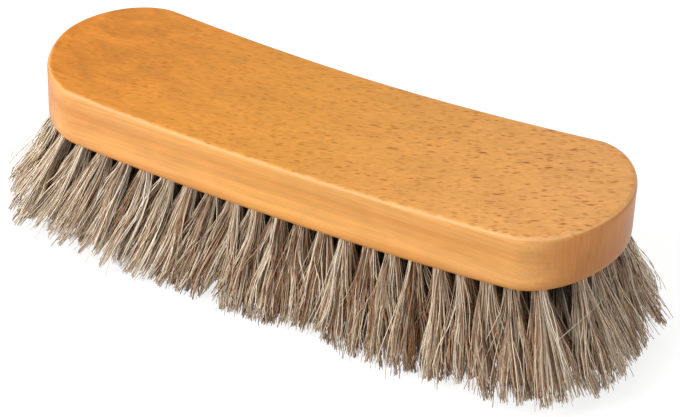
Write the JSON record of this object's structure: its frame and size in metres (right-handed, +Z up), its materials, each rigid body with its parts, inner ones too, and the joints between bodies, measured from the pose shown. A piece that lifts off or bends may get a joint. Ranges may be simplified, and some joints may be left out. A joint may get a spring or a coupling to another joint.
{
  "type": "shoe shine brush",
  "caption": "Handheld shoe shine brush: a swayed beech block with rounded ends, set with tufts of horsehair for polishing leather.",
  "frame": {"origin": "on the surface that the hair tips stand on, under the middle of the block", "axes": "+X along the length of the block, +Y across it, +Z up from the hair tips to the top of the block"},
  "size_m": [0.2192, 0.0814, 0.0586],
  "materials": {
    "beech": "satin clear lacquer",
    "horsehair": "natural hair",
    "anchor_wire": "flat drawn wire"
  },
  "bodies": {
    "root": {"block": "beech", "tuft_anchors": "anchor_wire", "tuft_row_01": "horsehair", "tuft_row_02": "horsehair", "tuft_row_03": "horsehair", "tuft_row_04": "horsehair", "tuft_row_05": "horsehair", "tuft_row_06": "horsehair", "tuft_row_07": "horsehair", "tuft_row_08": "horsehair", "tuft_row_09": "horsehair", "tuft_row_10": "horsehair", "tuft_row_11": "horsehair", "tuft_row_12": "horsehair", "tuft_row_13": "horsehair", "tuft_row_14": "horsehair", "tuft_row_15": "horsehair", "tuft_row_16": "horsehair", "tuft_row_17": "horsehair", "tuft_row_18": "horsehair", "tuft_row_19": "horsehair", "tuft_row_20": "horsehair", "tuft_row_21": "horsehair", "tuft_row_22": "horsehair", "tuft_row_23": "horsehair", "tuft_row_24": "horsehair"}
  },
  "joints": []
}
